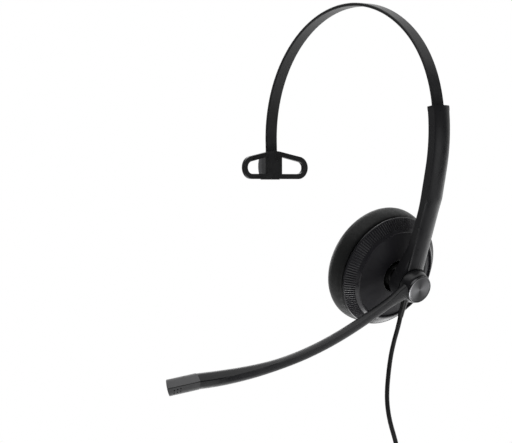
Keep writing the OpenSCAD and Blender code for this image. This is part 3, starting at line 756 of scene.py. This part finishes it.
class HEADSET_OT_coil_tie(bpy.types.Operator):
    """Woven strap round the coil"""

    bl_idname = "headset.coil_tie"
    bl_label = "Coil tie"

    def execute(self, context):
        cord = settings(context)[1]
        bm = bmesh.new()
        made = bmesh.ops.create_circle(bm, radius=STRAP_RADIUS, segments=40)
        bmesh.ops.rotate(bm, verts=made["verts"], matrix=Matrix.Rotation(math.radians(90), 3, "X"))
        bmesh.ops.translate(bm, verts=made["verts"], vec=(cord.coil_radius, 0, 0))
        bmesh.ops.rotate(bm, verts=bm.verts, cent=(0, 0, 0), matrix=Matrix.Rotation(-STRAP_ANGLE / 2, 3, "Z"))
        bmesh.ops.spin(
            bm, geom=bm.verts[:] + bm.edges[:], cent=(0, 0, 0), axis=(0, 0, 1), angle=STRAP_ANGLE, steps=8
        )
        bmesh.ops.recalc_face_normals(bm, faces=bm.faces)
        soften(bm, math.radians(50))
        turn = Matrix(((0, 0, 1), (1, 0, 0), (0, 1, 0))).to_4x4()
        bm.transform(Matrix.Translation(COIL_CENTRE) @ turn)
        obj = added("coil_strap", bm, "arm")
        wall = obj.modifiers.new("strap_thickness", "SOLIDIFY")
        wall.thickness = STRAP_THICKNESS
        wall.offset = 1
        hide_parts("coil_tie")
        paint(obj, woven("tie_strap", (0.02, 0.02, 0.022)))
        return {"FINISHED"}


# ---------- soft pieces ----------

# Section of the cushion in the cup's frame, in mm: radius, level
CUSHION_SECTION = [
    (16.8, -5.4), (26.5, -5.4), (26.5, -2.2), (27.3, -1.7), (28.2, -2.1), (28.9, -3.2), (29.4, -4.9),
    (29.7, -6.8), (29.8, -8.6), (29.5, -10.4), (28.4, -12.2), (26.3, -13.9), (23.7, -14.8), (20.7, -14.9),
    (18.3, -14.3), (16.8, -12.9), (16.5, -10.4), (16.6, -8.2),
]
# The same for the thin foam over the speaker
SCRIM_SECTION = [
    (0, -8.9), (6, -8.85), (12, -8.7), (16.3, -8.4), (16.3, -8.2), (12, -8.35), (6, -8.5), (0, -8.55),
]
# Where the skin gives, in mm. The inner seam's folds: their radius, reach and lowest level
INNER_SEAM, INNER_REACH, INNER_LEVEL = 17.6, 4, -10.5
# The back seam's folds: their level, reach and least radius
BACK_SEAM, BACK_REACH, BACK_RADIUS = -2.4, 3.2, 27.6
# The slow unevenness of the foam: its depth, least radius and lowest level
SLUMP, SLUMP_RADIUS, SLUMP_LEVEL = 0.18, 20, -7
# Past this radius and level the skin gives inwards, and elsewhere outwards
HOLLOW_RADIUS, SHELL_LEVEL = 17, -1.5


def fold(angle, count):
    """An uneven run of small folds, from 0 to 1."""
    wave = math.sin(count * angle + 1.7 * math.sin(5 * angle)) + 0.6 * math.sin(0.61 * count * angle + 2.1)
    return 0.5 + wave / 3.2


class HEADSET_OT_cushion(bpy.types.Operator):
    """Leatherette ear cushion with small folds along its seams, and the thin foam over the speaker"""

    bl_idname = "headset.cushion"
    bl_label = "Ear cushion"

    def execute(self, context):
        soft, finish = settings(context)[2:]
        place = cup_frame()
        bm = spun(CUSHION_SECTION, 192, Matrix.Identity(4))
        for v in bm.verts:
            angle = math.atan2(v.co.y, v.co.x)
            radius = math.hypot(v.co.x, v.co.y)
            level = v.co.z / MM
            recess_shade_plastic = max(0.0, 1 - abs(radius / MM - INNER_SEAM) / INNER_REACH) * (level < INNER_LEVEL)
            back = max(0.0, 1 - abs(level - BACK_SEAM) / BACK_REACH) * (radius > BACK_RADIUS * MM)
            give = soft.pucker * (recess_shade_plastic + back) * fold(angle, soft.folds)
            uneven = radius > SLUMP_RADIUS * MM and level < SLUMP_LEVEL
            slump = SLUMP * MM * math.sin(2 * angle + 0.8) * uneven
            inwards = level < SHELL_LEVEL and radius > HOLLOW_RADIUS * MM
            shrink = 1 - (give - slump * 0.5) / radius if inwards else 1 + give * 0.6 / radius
            v.co.x *= shrink
            v.co.y *= shrink
            v.co.z += give * 0.7 if level < INNER_LEVEL else 0
        bm.transform(place)
        for f in bm.faces:
            f.smooth = True
        cushion = added("ear_cushion_cover", bm, "ear_cup")
        finer = cushion.modifiers.new("smooth_cover", "SUBSURF")
        finer.levels = 1
        finer.render_levels = 1
        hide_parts("ear_cushion")
        paint(cushion, leatherette("leatherette", finish.leather))
        foam = added("ear_scrim_foam", spun(SCRIM_SECTION, 72, place), "ear_cup")
        for p in foam.data.polygons:
            p.use_smooth = True
        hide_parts("ear_scrim")
        paint(foam, woven("scrim_cloth", (0.012, 0.012, 0.012), 1600))
        return {"FINISHED"}


class HEADSET_OT_temple_pad(bpy.types.Operator):
    """Rubber loop that rests on the temple, with rounded edges"""

    bl_idname = "headset.temple_pad"
    bl_label = "Temple pad"

    def execute(self, context):
        soft, finish = settings(context)[2:]
        pad = dressed("temple_pad", "temple_pad_rubber", edge=soft.pad_round, angle=35, segments=4)
        paint(pad, soft_rubber("pad_rubber", finish.rubber, 0.3))
        return {"FINISHED"}


# ---------- hub, boom and microphone ----------

# Section of the cap on the hub's axes, in mm: radius, level
CAP_SECTION = [
    (0, 6.9), (6.8, 6.9), (6.8, 7.7), (6.72, 7.95), (6.5, 8.1), (6.2, 8.08), (6.05, 8.0), (5.95, 7.97),
    (5.7, 7.96), (0.5, 7.96), (0, 7.95),
]
CAP_TOP = Vector((0, 0, 8.1)) * MM
# Painted shade: tone of the microphone's lower half against its upper half, which are one grey plastic
MIC_LOWER_SHADE_TONE = 0.425


class HEADSET_OT_hub_cap(bpy.types.Operator):
    """Spun metal cap on the boom's hub, with a turned face"""

    bl_idname = "headset.hub_cap"
    bl_label = "Hub cap"

    def execute(self, context):
        bm = spun(CAP_SECTION, 96, Matrix.Identity(4))
        turned = bm.loops.layers.uv.new("turned")
        for f in bm.faces:
            middle = f.calc_center_median()
            base = math.atan2(middle.y, middle.x)
            for loop in f.loops:
                co = loop.vert.co
                away = math.hypot(co.x, co.y)
                swing = 0.0
                if away > 0.01 * MM:
                    swing = (math.atan2(co.y, co.x) - base + math.pi) % (2 * math.pi) - math.pi
                loop[turned].uv = ((base + swing) / (2 * math.pi), away / (7 * MM))
        soften(bm, math.radians(28))
        bm.transform(hub_frame())
        cap = added("hub_cap_turned", bm, "boom")
        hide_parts("boom_cap")
        paint(cap, spun_metal("cap_metal", settings(context)[3].cap))
        return {"FINISHED"}


class HEADSET_OT_shells(bpy.types.Operator):
    """The hard mouldings in view, smooth-shaded on their CAD shapes, with broken edges"""

    bl_idname = "headset.shells"
    bl_label = "Mouldings"

    def execute(self, context):
        finish = settings(context)[3]
        arm = satin_plastic("arm_plastic", finish.arm, 0.3, spec=0.38)
        cup = satin_plastic("cup_plastic", finish.cup, 0.27, spec=0.45)
        face = satin_plastic("face_plastic", finish.cup, 0.4, grain=0.006 * MM, spec=0.25)
        # The capsule's halves are lit and shaded copies of one grey: the lower half is painted darker as painted
        # shade
        mic = satin_plastic("mic_plastic", finish.mic, 0.36, spec=0.4)
        mic_lower_shaded = satin_plastic("mic_lower_shaded_plastic", [MIC_LOWER_SHADE_TONE * c for c in finish.mic], 0.4, spec=0.3)
        band = satin_plastic("band_plastic", finish.band, 0.34, spec=0.3)
        boss = satin_plastic("boss_plastic", (0.06, 0.06, 0.062), 0.35)
        boss_cap = satin_plastic("boss_cap_plastic", (0.1, 0.1, 0.104), 0.35)
        for node, edge, mat in (
            ("arm_shell", 0.22, arm), ("arm_cover", 0.18, arm), ("boom_arm", 0.0, arm),
            ("band_skin", 0.0, band), ("cup_shell", 0.08, cup), ("face_plate", 0.1, face),
            ("pad_boss", 0.3, boss), ("pad_boss_cap", 0.3, boss_cap), ("mic_upper", 0.3, mic),
            ("mic_lower", 0.3, mic_lower_shaded), ("strain_relief", 0.0, None),
        ):
            piece = dressed(node, node + "_moulding", edge=edge * MM)
            paint(piece, mat or soft_rubber("relief_rubber", finish.rubber))
        paint(NODES["rib_ring"], cup)
        return {"FINISHED"}


class HEADSET_OT_finishes(bpy.types.Operator):
    """Materials for every CAD node that shows as it is"""

    bl_idname = "headset.finishes"
    bl_label = "Finishes"

    def execute(self, context):
        finish = settings(context)[3]
        steel = plated_metal("steel", (0.55, 0.55, 0.57))
        # The inner parts are black plastic, painted darker and duller still as painted shade, so the face plate's
        # socket reads as a deep shadowed hollow
        recess_shade_plastic = satin_plastic("inner_plastic", (0.004, 0.004, 0.004), 0.6, spec=0.06)
        black = plated_metal("black_steel", (0.03, 0.03, 0.031), 0.4)
        rubber = soft_rubber("boot_rubber", finish.rubber)
        clear = clear_moulding("clear_plastic", (0.9, 0.93, 0.95))
        made = {
            "spring_steel": plated_metal("spring_steel", (0.3, 0.31, 0.33), 0.32),
            "steel": steel,
            "black_steel": black,
            "brass": plated_metal("brass", (0.72, 0.52, 0.24), 0.3),
            "nylon": satin_plastic("black_nylon", (0.015, 0.015, 0.016), 0.5, spec=0.3),
            "relief_rubber": rubber,
            "clear_plastic": clear,
            "gold_contact": plated_metal("gold_contact", (0.95, 0.68, 0.28), 0.2),
            "inner_plastic": recess_shade_plastic,
            "diaphragm_film": film("diaphragm_film", (0.55, 0.48, 0.3)),
            "magnet_metal": plated_metal("magnet_metal", (0.5, 0.5, 0.52), 0.22),
            "board_green": coated_board("board_green", (0.02, 0.12, 0.05)),
            "capsule_metal": plated_metal("capsule_metal", (0.06, 0.06, 0.062), 0.4),
        }
        for node, obj in NODES.items():
            mat = made.get(SLOT_OF[node])
            if mat is not None and not obj.hide_render:
                paint(obj, mat)
        return {"FINISHED"}


# ---------- points and panel ----------


def reach(names, pick):
    """The lowest or highest x or y at which these pieces show."""
    axis = 0 if pick in ("left", "right") else 1
    found = [p[axis] for name in names for p in shown_pixels(bpy.data.objects[name])]
    return min(found) if pick in ("left", "top") else max(found)


# Steps down the strain relief's axis, and how near two sight hits are when they are the same one
RELIEF_STEPS = 120
SAME_HIT = 0.1 * MM
# Pixels from the highest edge of the arm's mouth: how far down its lip reaches, and where the lip's middle is
LIP_REACH = 3
LIP_MIDDLE = 1


def relief_exit():
    """Where the strain relief's axis first shows from behind the boom and the arm."""
    relief = tree_of(bpy.data.objects["strain_relief_moulding"])
    names = (
        "boom_arm_moulding", "arm_shell_moulding", "arm_cover_moulding", "cup_shell_moulding", "hub_cap_turned",
    )
    front = [tree_of(bpy.data.objects[name]) for name in names]
    for i in range(RELIEF_STEPS + 1):
        x, y = seen_at(hub_frame() @ RELIEF_FOOT.lerp(RELIEF_TIP, i / RELIEF_STEPS))
        own = on_surface(x, y, relief)
        if own and (on_surface(x, y, relief, *front)[0] - own[0]).length < SAME_HIT:
            return x, y
    return None, None


def write_points():
    """Where each feature of the model shows, in the photograph's pixels."""
    solid = [
        "band_skin_moulding", "arm_shell_moulding", "arm_cover_moulding", "cup_shell_moulding",
        "ear_cushion_cover", "temple_pad_rubber", "boom_arm_moulding", "hub_cap_turned", "mic_upper_moulding",
        "mic_lower_moulding",
    ]
    shows = {
        "object_left": (reach(solid, "left"), None),
        "object_right": (reach(solid, "right"), None),
        "object_top": (None, reach(solid, "top")),
        "object_bottom": (None, reach(solid, "bottom")),
        "cushion_left": (reach(["ear_cushion_cover"], "left"), None),
        "cushion_top": (None, reach(["ear_cushion_cover"], "top")),
        "shell_right": (reach(["cup_shell_moulding"], "right"), None),
        "pad_left": (reach(["temple_pad_rubber"], "left"), None),
        "pad_right": (reach(["temple_pad_rubber"], "right"), None),
        "pad_top": (None, reach(["temple_pad_rubber"], "top")),
        "cap_centre": seen_at(hub_frame() @ CAP_TOP),
        "mic_seam": seen_at(mic_frame() @ SEAM_START),
        "mic_holes": seen_at(mic_frame() @ HOLES_MIDDLE),
        "relief_exit": relief_exit(),
    }
    arm = shown_pixels(bpy.data.objects["arm_shell_moulding"])
    mouth = min(p[1] for p in arm)
    lip = [p[0] for p in arm if p[1] < mouth + LIP_REACH]
    shows["arm_mouth"] = ((min(lip) + max(lip)) / 2, mouth + LIP_MIDDLE)


PIECES = (
    HEADSET_OT_stage, HEADSET_OT_cord, HEADSET_OT_coil_tie, HEADSET_OT_cushion, HEADSET_OT_temple_pad,
    HEADSET_OT_hub_cap, HEADSET_OT_shells, HEADSET_OT_finishes,
)
GROUPS = (HeadsetStage, HeadsetCord, HeadsetSoft, HeadsetFinish)


class HEADSET_PT_tools(bpy.types.Panel):
    """Lists the headset's pieces."""

    bl_label = "Headset"
    bl_idname = "HEADSET_PT_tools"
    bl_space_type = "VIEW_3D"
    bl_region_type = "UI"
    bl_category = "Headset"

    def draw(self, context):
        for group in settings(context):
            box = self.layout.box()
            for name in group.__annotations__:
                box.prop(group, name)
        for piece in PIECES:
            self.layout.operator(piece.bl_idname)


CLASSES = (*GROUPS, *PIECES, HEADSET_PT_tools)


def register():
    """Adds the settings, the operators and the panel to Blender."""
    for item in CLASSES:
        bpy.utils.register_class(item)
    bpy.types.Scene.headset_stage = PointerProperty(type=HeadsetStage)
    bpy.types.Scene.headset_cord = PointerProperty(type=HeadsetCord)
    bpy.types.Scene.headset_soft = PointerProperty(type=HeadsetSoft)
    bpy.types.Scene.headset_finish = PointerProperty(type=HeadsetFinish)


def unregister():
    """Takes them away again."""
    for name in ("headset_stage", "headset_cord", "headset_soft", "headset_finish"):
        delattr(bpy.types.Scene, name)
    for item in reversed(CLASSES):
        bpy.utils.unregister_class(item)


def main():
    """Dresses the frame."""
    register()
    bpy.ops.headset.stage()
    bpy.ops.headset.cord()
    bpy.ops.headset.coil_tie()
    bpy.ops.headset.cushion()
    bpy.ops.headset.temple_pad()
    bpy.ops.headset.hub_cap()
    bpy.ops.headset.shells()
    bpy.ops.headset.finishes()
    write_points()


if __name__ == "__main__":
    main()
